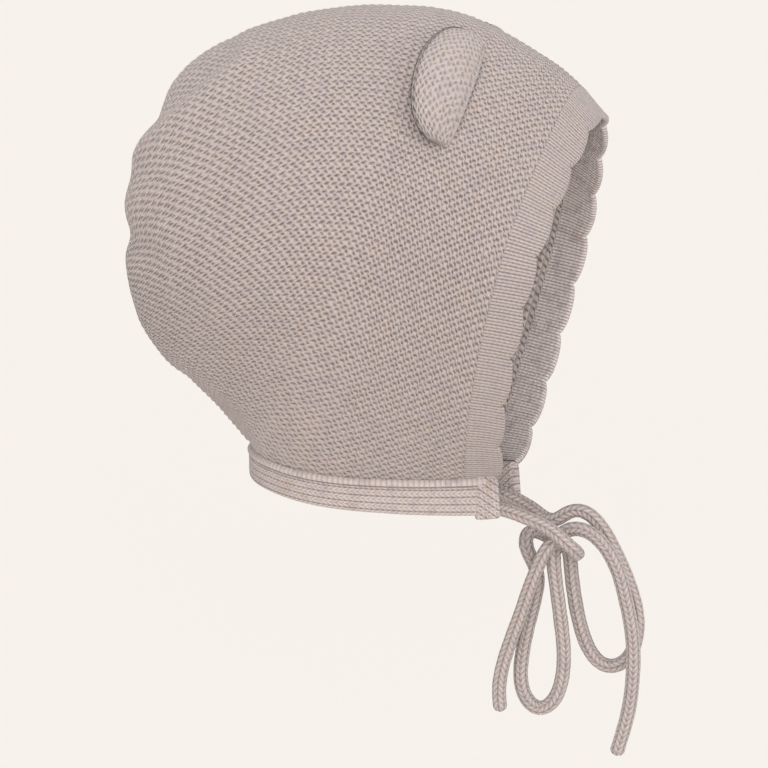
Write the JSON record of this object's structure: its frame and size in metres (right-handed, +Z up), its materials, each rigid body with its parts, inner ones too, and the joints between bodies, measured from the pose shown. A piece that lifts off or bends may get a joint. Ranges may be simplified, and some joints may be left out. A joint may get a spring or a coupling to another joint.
{
  "type": "baby_bonnet",
  "caption": "Knitted baby bonnet in beige-grey melange garter stitch, with small bear ears, a scalloped ribbed brim, a neck band and knitted cord ties in a bow",
  "frame": {"origin": "The top of the head inside the crown, on the bonnet's left-right middle", "axes": "+Z up, -Y out of the face opening, -X to the wearer's right"},
  "size_m": [0.1172, 0.1704, 0.2406],
  "materials": {
    "garter_knit": "matte knitted yarn, garter stitch",
    "rib_knit": "matte knitted yarn, fine rib",
    "ear_knit": "matte knitted yarn, plain stitch",
    "cord_knit": "matte knitted cord"
  },
  "bodies": {
    "root": {"crown": "garter_knit", "brim_band": "rib_knit", "neck_band": "rib_knit", "band_tab_right": "rib_knit", "band_tab_left": "rib_knit", "ear_right": "ear_knit", "ear_left": "ear_knit", "bow_knot": "cord_knit", "tie_right_lead": "cord_knit", "tie_right_loop": "cord_knit", "tie_right_tail": "cord_knit", "tie_left_lead": "cord_knit", "tie_left_loop": "cord_knit", "tie_left_tail": "cord_knit"}
  },
  "joints": []
}
